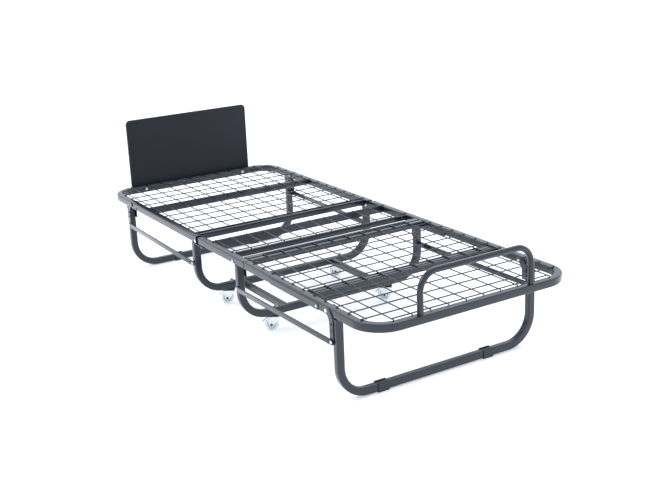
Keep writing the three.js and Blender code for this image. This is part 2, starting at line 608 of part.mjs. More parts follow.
// A pressed tab with a rolled knuckle between the fork's cheeks, pushed down by foot to stop the wheel.
const brakeLever = () => {
  const { x, z } = LEVER_HINGE;
  const tab = new THREE.Shape();
  const outline = [[x, z - 2], [LEVER_REACH - 0.5, 33], [LEVER_REACH, 35.5], [x + 1, z + 1.5]];
  tab.setFromPoints(outline.map(([u, w]) => new THREE.Vector2(u, w)));
  const geometry = new THREE.ExtrudeGeometry(tab, { depth: 2 * LEVER_HALF, bevelEnabled: false });
  geometry.rotateX(Math.PI / 2);
  geometry.translate(0, LEVER_HALF, 0);
  return join(solid(geometry), roundBar("y", [-FORK_Y[0] + GAP, FORK_Y[0] - GAP], LEVER_HINGE, 2));
};

for (const [place, x] of [["head", HEAD_SIDE_LEG_X], ["foot", FOOT_SIDE_LEG_X]]) {
  onBothSides((side, name) => {
    const caster = new THREE.Group();
    caster.name = `caster_${place}_${name}`;
    caster.position.set(x, side * STEM_Y, 0);
    caster.rotation.z = HEADING;
    casters.add(caster);
    add(caster, `caster_fork_${place}_${name}`, casterFork(), ZINC);
    add(caster, `caster_wheel_${place}_${name}`, casterWheel(), WHEEL_PLASTIC);
    add(caster, `caster_brake_${place}_${name}`, brakeLever(), ZINC);
  });
}

export default cot;
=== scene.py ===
"""Folding cot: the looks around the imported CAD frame. Lengths are in millimetres until a mesh is made."""

import math

import bmesh
import bpy
from mathutils import Matrix, Vector


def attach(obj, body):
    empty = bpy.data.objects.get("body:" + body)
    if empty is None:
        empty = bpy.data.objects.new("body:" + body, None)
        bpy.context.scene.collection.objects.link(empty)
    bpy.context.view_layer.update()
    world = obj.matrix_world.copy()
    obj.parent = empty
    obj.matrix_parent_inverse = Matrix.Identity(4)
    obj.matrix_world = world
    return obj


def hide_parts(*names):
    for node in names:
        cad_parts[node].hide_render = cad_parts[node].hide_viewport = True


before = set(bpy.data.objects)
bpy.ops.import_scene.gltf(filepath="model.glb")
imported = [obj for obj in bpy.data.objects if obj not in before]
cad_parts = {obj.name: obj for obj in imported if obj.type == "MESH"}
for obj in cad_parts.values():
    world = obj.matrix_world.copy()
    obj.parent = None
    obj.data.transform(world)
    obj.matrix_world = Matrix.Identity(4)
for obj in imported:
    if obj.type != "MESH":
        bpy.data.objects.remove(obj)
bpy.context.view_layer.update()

# ---------------------------------------------------------------- the CAD part's dimensions
HEAD, FOOT, SIDE = -966.0, 984.0, 382.5  # outer faces of the end rails and of the side rails
TOP, RAIL, WALL = 296.0, 25.4, 1.5  # top of the rails, their square tube and its wall
RAIL_Z = TOP - RAIL / 2
RAIL_Y = SIDE - RAIL / 2
RAIL_BEND = 102 - RAIL / 2
HEAD_RAIL_END, FOOT_RAIL_END = HEAD + 836, HEAD + 1203.5
GAP, PLATE = 0.3, 2.5  # room between touching parts, thickness of a pressed plate
HEAD_HINGE, FOOT_HINGE, HINGE_Z = HEAD + 830, FOOT - 830, 277.0
MID_RAIL_ENDS = (HEAD_HINGE + 25, FOOT_HINGE + 80)
PIVOT_INSET, LEG_INSET = 234.0, 193.0  # the end legs' pivots and middles, from the cot's ends
LEG_THICK, LEG_TOP = 22.0, 266.4
LEG_BEND = 95.0
END_LEG_BAR, CART_BAR = 2.8, 62.0  # undersides of the legs' floor bars
CART_LEGS = {"head": (HEAD + 807, 264.8), "foot": (HEAD + 1143, 270.3)}  # x and top
BRACE_Y, BRACE_HIGH, BRACE_WIDE = 196.5, 16, 25
LINK_SHIFT, LINK_DROP = 28.0, 90.0  # from a hinge or a leg's pivot to the link bar's pin
LINK_HALF = 9.0
LINK_OUT, LINK_IN = -6.1, -3.1  # a link bar's two faces, as depths that are negative outside the side
BAR_HIGH, CROSS_WIDE = 20, 40
BAR_REACH = SIDE - RAIL - GAP
ARM_REACH = SIDE - 28.6  # to the inner faces of the hinge arms
BAR_CORNER = 2.4
HANDLE_R, HANDLE_BORE_R, HANDLE_Y, HANDLE_Z, HANDLE_BEND = 9.5, 8, 207, 419, 58
WIRE_R, WIRE_PITCH, LONG_WIRES = 2.0, 65, 10
WIRE_Z = TOP + GAP + WIRE_R
EDGE_WIRE_Y = SIDE - 33
WIRE_SEAT = SIDE - RAIL + 8  # how far the cross wires reach over the rails
BOARD_BACK, BOARD_THICK, BOARD_CORNER = HEAD - 15, 9, 18
BOARD_HALF, BOARD_LOW, BOARD_HIGH = 280, 262, 576
BOLT_Y = 230
SHANK_R, RIVET_R, RIVET_HIGH = 2.8, 6.5, 2.2
PAD_Y = {"head": {"near": -180, "far": 180}, "foot": {"near": -223, "far": 185}}
PAD_HALF, PAD_THICK = 19.5, 2.5
STEM_Y, TRAIL, WHEEL_R, HEADING = 238.5, 18.5, 24.0, math.radians(238)
FORK_BACK, FORK_FRONT, FORK_HALF, CHEEK = -10, 34, 12, 2
CROWN_LOW, CROWN_TOP = 53, 56  # a fork's top plate
SIDES = {"near": -1, "far": 1}
MM = 0.001


# ---------------------------------------------------------------- procedural materials
def node_material(name, color, roughness, metallic=0.0, grain=0.0, grain_scale=900.0, mottle=0.08,
                  **inputs):
    """A principled surface whose tone and roughness drift slightly, with a fine bump for its grain."""
    material = bpy.data.materials.new(name)
    material.use_nodes = True
    nodes, links = material.node_tree.nodes, material.node_tree.links
    surface = nodes["Principled BSDF"]
    surface.inputs["Metallic"].default_value = metallic
    for key, value in inputs.items():
        surface.inputs[key.replace("_", " ")].default_value = value
    place = nodes.new("ShaderNodeTexCoord")
    drift = nodes.new("ShaderNodeTexNoise")
    drift.inputs["Scale"].default_value = 14.0
    drift.inputs["Detail"].default_value = 4.0
    links.new(place.outputs["Object"], drift.inputs["Vector"])
    tone = nodes.new("ShaderNodeValToRGB")
    tone.color_ramp.elements[0].position = 0.3
    tone.color_ramp.elements[1].position = 0.7
    tone.color_ramp.elements[0].color = [c * (1 - mottle) for c in color] + [1]
    tone.color_ramp.elements[1].color = [min(1, c * (1 + mottle)) for c in color] + [1]
    links.new(drift.outputs["Fac"], tone.inputs["Fac"])
    links.new(tone.outputs["Color"], surface.inputs["Base Color"])
    rough = nodes.new("ShaderNodeMapRange")
    rough.inputs["To Min"].default_value = roughness * 0.88
    rough.inputs["To Max"].default_value = min(1.0, roughness * 1.12)
    links.new(drift.outputs["Fac"], rough.inputs["Value"])
    links.new(rough.outputs["Result"], surface.inputs["Roughness"])
    if grain:
        fine = nodes.new("ShaderNodeTexNoise")
        fine.inputs["Scale"].default_value = grain_scale
        links.new(place.outputs["Object"], fine.inputs["Vector"])
        bump = nodes.new("ShaderNodeBump")
        bump.inputs["Strength"].default_value = grain
        bump.inputs["Distance"].default_value = 0.0002
        links.new(fine.outputs["Fac"], bump.inputs["Height"])
        links.new(bump.outputs["Normal"], surface.inputs["Normal"])
    return material


COAT = node_material("anthracite powder coat", (0.005, 0.0085, 0.016), 0.34, grain=0.25,
                     Specular_IOR_Level=0.26, Specular_Tint=(0.75, 0.85, 1.0, 1),
                     Coat_Weight=0.85, Coat_Roughness=0.16)
WIRE_COAT = node_material("anthracite wire coat", (0.007, 0.010, 0.017), 0.30, grain=0.15,
                          Specular_IOR_Level=0.3, Coat_Weight=0.5, Coat_Roughness=0.15)
ZINC = node_material("zinc plate", (0.72, 0.74, 0.76), 0.30, metallic=1.0, grain=0.15, mottle=0.12)
DULL_ZINC = node_material("dull zinc", (0.34, 0.36, 0.39), 0.42, metallic=1.0, grain=0.15, mottle=0.12)
BOARD = node_material("dark laminate", (0.010, 0.0125, 0.018), 0.48, grain=0.45, grain_scale=420.0,
                      Specular_IOR_Level=0.32)
# The board's edge faces are coloured much lighter than its faces: a painted highlight along the rim.
BOARD_EDGE_HIGHLIGHT = node_material("painted board edge highlight", (0.14, 0.15, 0.17), 0.45, grain=0.1)
PAD = node_material("grey plastic", (0.018, 0.022, 0.031), 0.42, grain=0.3, Specular_IOR_Level=0.5)
MILKY = node_material("milky plastic", (0.86, 0.92, 0.92), 0.16, mottle=0.03,
                      Transmission_Weight=0.6, IOR=1.42)
HUB = node_material("wheel hub plastic", (0.50, 0.56, 0.57), 0.35, mottle=0.06)
# Dark steel for the bracket screws and the head frame rivets; on the casters it is painted shade over the
# forks' tops.
DARK_STEEL_AND_PAINTED_SHADE = node_material("dark steel and painted shade", (0.045, 0.048, 0.055), 0.36, metallic=0.7, mottle=0.15)


# ---------------------------------------------------------------- pieces
class Piece:
    """One mesh object, gathered from simple solids, that rides on a CAD body."""

    def __init__(self, name, body, slot, *materials):
        self.name, self.body, self.slot, self.materials = name, body, slot, materials
        self.verts, self.faces, self.marks = [], [], []
        self.place = Matrix.Identity(4)

    def add(self, verts, faces, mark=0):
        """Takes in one solid; mark is the index of its material."""
        start = len(self.verts)
        self.verts += [self.place @ Vector(v) for v in verts]
        self.faces += [[start + i for i in face] for face in faces]
        self.marks += [mark] * len(faces)

    def done(self, *replaced, smooth=35.0):
        """Makes the object, puts it on its body and hides the CAD nodes it stands for."""
        mesh = bpy.data.meshes.new(self.name)
        mesh.from_pydata([v * MM for v in self.verts], [], self.faces)
        for material in self.materials:
            mesh.materials.append(material)
        mesh.polygons.foreach_set("material_index", self.marks)
        tidy = bmesh.new()
        tidy.from_mesh(mesh)
        bmesh.ops.recalc_face_normals(tidy, faces=tidy.faces)
        tidy.to_mesh(mesh)
        tidy.free()
        mesh.shade_smooth()
        mesh.set_sharp_from_angle(angle=math.radians(smooth))
        thing = bpy.data.objects.new(self.name, mesh)
        bpy.context.scene.collection.objects.link(thing)
        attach(thing, self.body)
        if replaced:
            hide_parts(*replaced)
        return thing


# ---------------------------------------------------------------- sections and simple solids
def rounded_rectangle(half_a, half_b, radius, steps=4):
    points = []
    for corner, (sa, sb) in enumerate([(1, 1), (-1, 1), (-1, -1), (1, -1)]):
        for k in range(steps + 1):
            angle = math.pi / 2 * (corner + k / steps)
            points.append((sa * (half_a - radius) + radius * math.cos(angle),
                           sb * (half_b - radius) + radius * math.sin(angle)))
    return points


def circle(radius, sides):
    return [(radius * math.cos(2 * math.pi * k / sides), radius * math.sin(2 * math.pi * k / sides))
            for k in range(sides)]


def bent_path(corners, radius, steps=14):
    """Points and directions along straight runs with round bends between them."""
    corners = [Vector(c) for c in corners]
    runs = [(b - a).normalized() for a, b in zip(corners, corners[1:])]
    stations = [(corners[0], runs[0])]
    for corner, into, out in zip(corners[1:-1], runs, runs[1:]):
        turn = into.angle(out)
        inward = (out - into * math.cos(turn)).normalized()
        start = corner - into * radius * math.tan(turn / 2)
        centre = start + inward * radius
        for k in range(steps + 1):
            angle = turn * k / steps
            point = centre - inward * radius * math.cos(angle) + into * radius * math.sin(angle)
            stations.append((point, into * math.cos(angle) + inward * math.sin(angle)))
    return stations + [(corners[-1], runs[-1])]


def sweep(piece, stations, binormal, outer, inner=None, mark=0):
    """A section carried along a flat path: a solid with closed ends, or a tube if inner is given."""
    binormal = Vector(binormal).normalized()
    loops = [outer] + ([inner] if inner else [])
    count = len(outer)
    verts, faces = [], []
    for loop in loops:
        for point, direction in stations:
            across = binormal.cross(direction).normalized()
            verts += [point + across * a + binormal * b for a, b in loop]
    rows = len(stations)
    for layer in range(len(loops)):
        base = layer * rows * count
        for row in range(rows - 1):
            for k in range(count):
                a, b = base + row * count + k, base + row * count + (k + 1) % count
                faces.append([a, b, b + count, a + count])
    last = (rows - 1) * count
    if inner:
        for k in range(count):
            nxt = (k + 1) % count
            for end in (0, last):
                faces.append([end + k, end + nxt, rows * count + end + nxt, rows * count + end + k])
    else:
        faces.append(list(range(count)))
        faces.append([last + k for k in range(count)])
    piece.add(verts, faces, mark)


def rod(piece, start, end, radius, sides=10, mark=0):
    start, end = Vector(start), Vector(end)
    direction = (end - start).normalized()
    side = Vector((0, 0, 1)) if abs(direction.z) < 0.9 else Vector((1, 0, 0))
    sweep(piece, [(start, direction), (end, direction)], side, circle(radius, sides), mark=mark)


def lathe(piece, centre, axis, profile, sides=24, mark=0):
    """A closed profile of (radius, height) turned about an axis; a zero radius makes a pole."""
    centre, axis = Vector(centre), Vector(axis).normalized()
    side = axis.orthogonal().normalized()
    other = axis.cross(side)
    verts, faces, rings = [], [], []
    for radius, height in profile:
        if radius == 0:
            rings.append([len(verts)] * sides)
            verts.append(centre + axis * height)
            continue
        rings.append([len(verts) + k for k in range(sides)])
        for k in range(sides):
            turn = 2 * math.pi * k / sides
            outward = side * math.cos(turn) + other * math.sin(turn)
            verts.append(centre + axis * height + outward * radius)
    for low, high in zip(rings, rings[1:]):
        for k in range(sides):
            face = [low[k], low[(k + 1) % sides], high[(k + 1) % sides], high[k]]
            faces.append([v for i, v in enumerate(face) if v not in face[:i]])
    piece.add(verts, faces, mark)


def dome(piece, centre, axis, radius, height, mark=0):
    """A round rivet head that stands on a face at centre."""
    profile = [(0, 0), (radius, 0), (radius, height * 0.25)]
    profile += [(radius * math.cos(a), height * (0.25 + 0.75 * math.sin(a)))
                for a in (math.radians(20), math.radians(42), math.radians(65))]
    lathe(piece, centre, axis, profile + [(0, height)], 20, mark)


def disc(piece, centre, axis, radius, low, high, sides=24, mark=0):
    lathe(piece, centre, axis, [(0, low), (radius, low), (radius, high), (0, high)], sides, mark)


def hexagon_nut(piece, centre, axis, radius, height, mark=0):
    disc(piece, centre, axis, radius, 0, height, 6, mark)


def slab(piece, outline, axis, low, high, bevel=0.6, mark=0):
    """A flat plate: outline in the plane across the axis, with its long edges broken by a small bevel."""
    order = {"x": (2, 0, 1), "y": (0, 2, 1), "z": (0, 1, 2)}[axis]
    solid = bmesh.new()
    faces = []
    for level in (low, high):
        corners = []
        for a, b in outline:
            triple = (a, b, level)
            corners.append(solid.verts.new(tuple(triple[i] for i in order)))
        faces.append(solid.faces.new(corners))
    count = len(outline)
    for k in range(count):
        nxt = (k + 1) % count
        solid.faces.new([faces[0].verts[k], faces[0].verts[nxt], faces[1].verts[nxt], faces[1].verts[k]])
    if bevel:
        rims = [e for f in faces for e in f.edges]
        bmesh.ops.bevel(solid, geom=rims, offset=bevel, segments=2, affect="EDGES", profile=0.5)
    solid.verts.index_update()
    corners = [v.co.copy() for v in solid.verts]
    piece.add(corners, [[v.index for v in f.verts] for f in solid.faces], mark)
    solid.free()


def arc(cx, cz, radius, start, end, steps=10):
    """Points of a round stretch between two angles in degrees."""
    turns = [math.radians(start + (end - start) * k / steps) for k in range(steps + 1)]
    return [(cx + radius * math.cos(turn), cz + radius * math.sin(turn)) for turn in turns]


def curve(a, b, c, steps=10):
    """Points of a quadratic curve from a to c, drawn towards b, without its first point."""
    points = []
    for k in range(1, steps + 1):
        t = k / steps
        first, middle, last = (1 - t) ** 2, 2 * t * (1 - t), t * t
        points.append(tuple(first * p + middle * q + last * r for p, q, r in zip(a, b, c)))
    return points


def depth(side, value):
    """Y of a place that lies this deep inside the cot's side."""
    return side * (SIDE - value)


def band(side, outer, inner):
    """The lower and the higher y of a plate between two depths."""
    return sorted((depth(side, outer), depth(side, inner)))


def head_pair(piece, x, z, side, outer, inner, radius, height, mark=0):
    """Two round heads, on the outer and the inner face of what they hold."""
    dome(piece, (x, depth(side, outer), z), (0, side, 0), radius, height, mark)
    dome(piece, (x, depth(side, inner), z), (0, -side, 0), radius, height, mark)


def through_rivet(piece, x, z, side, outer, inner, mark=0):
    """A rivet right through, with a head at both ends."""
    rod(piece, (x, depth(side, outer), z), (x, depth(side, inner), z), SHANK_R, 16, mark)
    head_pair(piece, x, z, side, outer, inner, RIVET_R, RIVET_HIGH, mark)


# ---------------------------------------------------------------- rails, legs and bars
def end_cap(piece, end, beyond, high, wide):
    """A thin plug just inside a rail's open end."""
    x, y, z = end
    room = WALL + 0.1
    into = math.copysign(3, beyond[0] - x)
    section = rounded_rectangle(wide / 2 - room, high / 2 - room, 1.5)
    slab(piece, [(y + a, z + b) for a, b in section], "x", *sorted((x + into / 6, x + into)), bevel=0)


def square_tube(node, body, corners, binormal, high, wide, bend=0.0, radius=3.0, capped=False):
    """A hollow tube; high lies across its path and wide along the binormal."""
    piece = Piece(node + "_tube", body, "frame_paint", COAT)
    outer = rounded_rectangle(high / 2, wide / 2, radius)
    inner = rounded_rectangle(high / 2 - WALL, wide / 2 - WALL, radius - WALL + 0.2)
    sweep(piece, bent_path(corners, bend), binormal, outer, inner)
    if capped:
        end_cap(piece, corners[0], corners[1], high, wide)
        end_cap(piece, corners[-1], corners[-2], high, wide)
    piece.done(node)


def rail_frame(node, body, open_x, end_x, sign):
    x = end_x - sign * RAIL / 2
    corners = [(open_x, -RAIL_Y, RAIL_Z), (x, -RAIL_Y, RAIL_Z),
               (x, RAIL_Y, RAIL_Z), (open_x, RAIL_Y, RAIL_Z)]
    square_tube(node, body, corners, (0, 0, 1), RAIL, RAIL, RAIL_BEND, capped=True)


def leg_frame(node, body, x, top, bottom):
    z = bottom + RAIL / 2
    corners = [(x, -RAIL_Y, top), (x, -RAIL_Y, z), (x, RAIL_Y, z), (x, RAIL_Y, top)]
    square_tube(node, body, corners, (1, 0, 0), RAIL, LEG_THICK, LEG_BEND)


def bar_ends(x, wide, high, reach):
    return [(x + wide / 2, -reach, TOP - high / 2), (x + wide / 2, reach, TOP - high / 2)]


def cross_bar(node, body, x, wide, high, reach):
    square_tube(node, body, bar_ends(x, wide, high, reach), (0, 0, 1), wide, high, radius=BAR_CORNER)


def grooved_section(half_wide, half_high):
    """A pressed bar's section with two grooves along its top and two along its bottom."""
    middle, half_mouth, half_floor, deep = 9, 4, 2.2, 2.4
    points = rounded_rectangle(half_wide, half_high, BAR_CORNER)
    top = [(at + u, half_high - drop) for at in (middle, -middle)
           for u, drop in ((half_mouth, 0), (half_floor, deep), (-half_floor, deep), (-half_mouth, 0))]
    bottom = [(-u, -w) for u, w in top]
    quarter = len(points) // 4
    return points[:quarter] + top + points[quarter:3 * quarter] + bottom + points[3 * quarter:]


def grooved_bar(node, body, x):
    piece = Piece(node + "_tube", body, "frame_paint", COAT)
    ends = bar_ends(x, CROSS_WIDE, BAR_HIGH, BAR_REACH)
    sweep(piece, bent_path(ends, 0), (0, 0, 1), grooved_section(CROSS_WIDE / 2, BAR_HIGH / 2))
    piece.done(node)


def foot_handle():
    piece = Piece("foot_handle_tube", "foot_section", "frame_paint", COAT)
    x, low = FOOT - RAIL / 2, TOP + GAP
    corners = [(x, -HANDLE_Y, low), (x, -HANDLE_Y, HANDLE_Z), (x, HANDLE_Y, HANDLE_Z), (x, HANDLE_Y, low)]
    hoop = bent_path(corners, HANDLE_BEND, 18)
    sweep(piece, hoop, (1, 0, 0), circle(HANDLE_R, 28), circle(HANDLE_BORE_R, 28))
    piece.done("foot_handle")


rail_frame("head_frame", "head_section", HEAD_RAIL_END, HEAD, -1)
rail_frame("foot_frame", "foot_section", FOOT_RAIL_END, FOOT, 1)
leg_frame("head_leg", "head_leg_assembly", HEAD + LEG_INSET, LEG_TOP, END_LEG_BAR)
leg_frame("foot_leg", "foot_leg_assembly", FOOT - LEG_INSET, LEG_TOP, END_LEG_BAR)
for end, (x, top) in CART_LEGS.items():
    leg_frame(f"{end}_side_cart_leg", "cart", x, top, CART_BAR)
brace_z = CART_BAR + RAIL / 2
brace_ends = (CART_LEGS["head"][0] + LEG_THICK / 2 + GAP, CART_LEGS["foot"][0] - LEG_THICK / 2 - GAP)
for name, side in SIDES.items():
    run = [(x, side * RAIL_Y, RAIL_Z) for x in MID_RAIL_ENDS]
    square_tube(f"mid_rail_{name}", "cart", run, (0, 0, 1), RAIL, RAIL, capped=True)
    run = [(x, side * BRACE_Y, brace_z) for x in brace_ends]
    square_tube(f"leg_brace_{name}", "cart", run, (0, 0, 1), BRACE_HIGH, BRACE_WIDE, radius=BAR_CORNER)
cross_bar("mid_cross_bar", "cart", HEAD + 1086, 12, BAR_HIGH, BAR_REACH)
grooved_bar("head_cross_bar", "head_section", HEAD + 360)
cross_bar("head_end_bar", "head_section", HEAD + 797, 22, 22, BAR_REACH)
cross_bar("foot_first_bar", "foot_section", FOOT_HINGE + 63, 20, BAR_HIGH, ARM_REACH)
grooved_bar("foot_cross_bar", "foot_section", HEAD + 1562)
foot_handle()


# ---------------------------------------------------------------- wire decks
def wire_deck(node, body, long, edge, cross):
    """Long wires between two x, a shorter one along each side, and cross wires of (x, reach)."""
    piece = Piece(node + "_rods", body, "frame_paint", WIRE_COAT)
    for k in range(LONG_WIRES):
        y = WIRE_PITCH * (k - (LONG_WIRES - 1) / 2)
        rod(piece, (long[0], y, WIRE_Z), (long[1], y, WIRE_Z), WIRE_R)
    for side in SIDES.values():
        y = side * EDGE_WIRE_Y
        rod(piece, (edge[0], y, WIRE_Z), (edge[1], y, WIRE_Z), WIRE_R)
    for x, reach in cross:
        rod(piece, (x, -reach, WIRE_Z), (x, reach, WIRE_Z), WIRE_R)
    piece.done(node, smooth=60)


def cross_row(first, pitch):
    return [(first + pitch * k, WIRE_SEAT) for k in range(11)]


NARROW_REACH = 294.25  # the foot section's first and last cross wires stop short of its sides
head_wires = [(HEAD + 57.5, SIDE - 36)] + cross_row(HEAD + 125, 67.5)
foot_wires = [(HEAD + 1174, NARROW_REACH)] + cross_row(HEAD + 1237, 63.3) + [(FOOT - 33, NARROW_REACH)]
mid_wires = [(HEAD + 937, WIRE_SEAT), (HEAD + 1082, WIRE_SEAT)]
mid_run = (HEAD + 930, HEAD + 1091)
wire_deck("head_wire_deck", "head_section", (HEAD + 18, HEAD + 806), (HEAD + 62, HEAD + 806), head_wires)
wire_deck("mid_wire_deck", "cart", mid_run, mid_run, mid_wires)
wire_deck("foot_wire_deck", "foot_section", (HEAD + 1170, FOOT - 22), (HEAD + 1231, FOOT - 74), foot_wires)


# ---------------------------------------------------------------- headboard
def headboard():
    """A slab of the full outline and one slightly smaller and thicker, which together ease the edge."""
    step, inset = 0.6, 1.2
    piece = Piece("headboard_panel", "head_section", "board", BOARD, BOARD_EDGE_HIGHLIGHT)
    middle, half_high = (BOARD_LOW + BOARD_HIGH) / 2, (BOARD_HIGH - BOARD_LOW) / 2
    across, up = BOARD_HALF - BOARD_CORNER, half_high - BOARD_CORNER
    outline = []
    for quarter, (y, z) in enumerate([(across, -up), (across, up), (-across, up), (-across, -up)]):
        outline += arc(y, middle + z, BOARD_CORNER, 90 * quarter - 90, 90 * quarter)
    inner = [(y * (1 - inset / BOARD_HALF), (z - middle) * (1 - inset / half_high) + middle)
             for y, z in outline]
    slab(piece, outline, "x", BOARD_BACK + step, BOARD_BACK + BOARD_THICK - step, bevel=0)
    slab(piece, inner, "x", BOARD_BACK, BOARD_BACK + BOARD_THICK, bevel=0)
    panel = piece.done("headboard")
    # The edge faces, which don't face along x, take the lighter colour as a painted highlight.
    for face in panel.data.polygons:
        if abs(face.normal.x) < 0.5:
            face.material_index = 1


def headboard_bolt(name, y):
    """A bolt through board and rail, with a thin washer and a spacer between them and a nut."""
    piece = Piece(f"headboard_bolt_{name}_fitting", "head_section", "zinc", ZINC)
    rod(piece, (BOARD_BACK, y, RAIL_Z), (HEAD + RAIL + 6.8, y, RAIL_Z), SHANK_R, 16)
    dome(piece, (BOARD_BACK, y, RAIL_Z), (-1, 0, 0), 8, 2.9)
    disc(piece, (HEAD, y, RAIL_Z), (-1, 0, 0), 8, GAP, 5.7)
    dome(piece, (BOARD_BACK + BOARD_THICK + 0.05, y, RAIL_Z), (1, 0, 0), 7, 0.2)
    hexagon_nut(piece, (HEAD + RAIL + GAP, y, RAIL_Z), (1, 0, 0), 5.8, 5)
    piece.done(f"headboard_bolt_{name}")


headboard()
for name, side in SIDES.items():
    headboard_bolt(name, side * BOLT_Y)


# ---------------------------------------------------------------- hinge pins and link bars
def hinge_pin(end, name, side, x):
    piece = Piece(f"{end}_hinge_pin_{name}_rivet", "cart", "zinc", ZINC)
    through_rivet(piece, x, HINGE_Z, side, -GAP, RAIL + 2 * GAP + PLATE)
    piece.done(f"{end}_hinge_pin_{name}")


def link_bar(end, name, side, cart_x, leg_x):
    """A flat bar with a rivet at each end; the one in the cart leg has a spacer behind the bar."""
    piece = Piece(f"{end}_link_{name}_flat", f"{end}_link_{name}_bar", "frame_paint", COAT, ZINC)
    cart_z, leg_z = HINGE_Z - LINK_DROP, RAIL_Z - LINK_DROP
    (x0, z0), (x1, z1) = sorted([(cart_x, cart_z), (leg_x, leg_z)])
    slope = math.degrees(math.atan2(z1 - z0, x1 - x0))
    outline = (arc(x1, z1, LINK_HALF, slope - 90, slope + 90, 12)
               + arc(x0, z0, LINK_HALF, slope + 90, slope + 270, 12))
    slab(piece, outline, "y", *band(side, LINK_OUT, LINK_IN), bevel=0.5)
    for x, z, inner in ((cart_x, cart_z, 3.0), (leg_x, leg_z, -GAP)):
        rod(piece, (x, depth(side, LINK_OUT), z), (x, depth(side, inner), z), SHANK_R, 16, 1)
        dome(piece, (x, depth(side, LINK_OUT), z), (0, side, 0), 5.5, RIVET_HIGH, 1)
    rod(piece, (cart_x, depth(side, LINK_IN), cart_z), (cart_x, depth(side, -GAP), cart_z), 5.5, 20, 1)
    piece.done(f"{end}_link_{name}")


for name, side in SIDES.items():
    hinge_pin("head", name, side, HEAD_HINGE)
    hinge_pin("foot", name, side, FOOT_HINGE)
    link_bar("head", name, side, HEAD_HINGE - LINK_SHIFT, HEAD + PIVOT_INSET - LINK_SHIFT)
    link_bar("foot", name, side, FOOT_HINGE + LINK_SHIFT, FOOT - PIVOT_INSET + LINK_SHIFT)


# ---------------------------------------------------------------- end leg brackets and pads
def cheek_outline(pivot, sign, to_link):
    """One cheek, a curved strip down the leg, which may reach the link bar's pin.

    Its u runs from the pivot towards the cot's end.
    """
    r, strip, bottom = 12.5, 10, 222
    near, far, bend_z = LINK_SHIFT - strip, LINK_SHIFT + strip, RAIL_Z - 36
    points = [(-u, z) for u, z in arc(0, RAIL_Z, r, 0, 90)]
    points += curve((0, RAIL_Z + r), (far, RAIL_Z + r), (far, bend_z))
    if to_link:
        points += arc(LINK_SHIFT, RAIL_Z - LINK_DROP, strip, 0, -180, 14)
    else:
        points += [(far, bottom), (near, bottom)]
    points.append((near, bend_z))
    points += curve((near, bend_z), (near, RAIL_Z - r), (-r, RAIL_Z))[:-1]
    return [(pivot + sign * u, z) for u, z in points]


def leg_bracket(end, name, side, pivot, sign, leg_x):
    """Two cheeks, a saddle over the leg's top, the pivot rivet and two screws in each cheek."""
    shine = ZINC if end == "foot" else DULL_ZINC
    piece = Piece(f"{end}_leg_bracket_{name}_pressing", f"{end}_leg_assembly", "frame_paint",
                  COAT, shine, DARK_STEEL_AND_PAINTED_SHADE)
    outer, inner = -GAP - PLATE, RAIL + GAP + PLATE
    slab(piece, cheek_outline(pivot, sign, True), "y", *band(side, outer, -GAP), bevel=0.7)
    slab(piece, cheek_outline(pivot, sign, False), "y", *band(side, RAIL + GAP, inner), bevel=0.7)
    x0, x1 = leg_x - LEG_THICK / 2, leg_x + LEG_THICK / 2
    y0, y1 = band(side, outer, inner)
    saddle_z = LEG_TOP + GAP
    slab(piece, [(x0, y0), (x1, y0), (x1, y1), (x0, y1)], "z", saddle_z, saddle_z + PLATE, bevel=0.3)
    through_rivet(piece, pivot, RAIL_Z, side, outer, inner, 1)
    for screw_z in (248, 230):
        head_pair(piece, pivot + sign * LINK_SHIFT, screw_z, side, outer, inner, 4.2, 1.6, 2)
    piece.done(f"{end}_leg_bracket_{name}")


def leg_pad(end, name, leg_x, y):
    """A clip round the floor bar, open along its top."""
    piece = Piece(f"{end}_leg_pad_{name}_clip", f"{end}_leg_assembly", "pad", PAD)
    half, bed, top, lip = LEG_THICK / 2 + GAP, END_LEG_BAR - GAP, END_LEG_BAR + RAIL + GAP, 6
    out = half + PAD_THICK
    section = [(lip, top), (half - 1, top), (half, top - 1), (half, bed), (-half, bed), (-half, top - 1),
               (-half + 1, top), (-lip, top), (-lip, top + PAD_THICK), (-half, top + PAD_THICK)]
    section += [(-out, top + 0.5)] + arc(-out + 2, 2, 2, 180, 270, 4) + arc(out - 2, 2, 2, 270, 360, 4)
    section += [(out, top + 0.5), (half, top + PAD_THICK), (lip, top + PAD_THICK)]
    slab(piece, [(leg_x + u, z) for u, z in section], "y", y - PAD_HALF, y + PAD_HALF, bevel=0)
    piece.done(f"{end}_leg_pad_{name}")


for end, sign, end_x in (("head", -1, HEAD), ("foot", 1, FOOT)):
    leg_x = end_x - sign * LEG_INSET
    for name, side in SIDES.items():
        leg_bracket(end, name, side, end_x - sign * PIVOT_INSET, sign, leg_x)
        leg_pad(end, name, leg_x, PAD_Y[end][name])


# ---------------------------------------------------------------- small fittings
def side_rivets(name, body, material, x, z, inset, radius, height):
    """One rivet head on the outer face of each side."""
    piece = Piece(name, body, "zinc", material)
    for side in SIDES.values():
        dome(piece, (x, depth(side, inset), z), (0, side, 0), radius, height)
    piece.done()


def stem_nuts():
    """A washer, a nut and the stem's end on top of the cart legs' floor bars."""
    piece = Piece("caster_stem_nuts", "cart", "zinc", DULL_ZINC)
    washer, nut, stem = 1.2, 5.5, 3.3
    for x, _ in CART_LEGS.values():
        for side in SIDES.values():
            y, z = side * STEM_Y, CART_BAR + RAIL
            disc(piece, (x, y, z), (0, 0, 1), 8.5, 0, washer)
            hexagon_nut(piece, (x, y, z + washer), (0, 0, 1), 7, nut)
            rod(piece, (x, y, z + washer + nut), (x, y, z + washer + nut + stem), 3.8, 16)
    piece.done()


side_rivets("splice_rivets", "foot_section", ZINC, HEAD + 1661, 280.5, -GAP - 1.5, 4.5, 1.6)
side_rivets("head_frame_rivets", "head_section", DARK_STEEL_AND_PAINTED_SHADE, HEAD + 288, 281, 0, 4.0, 1.5)
stem_nuts()


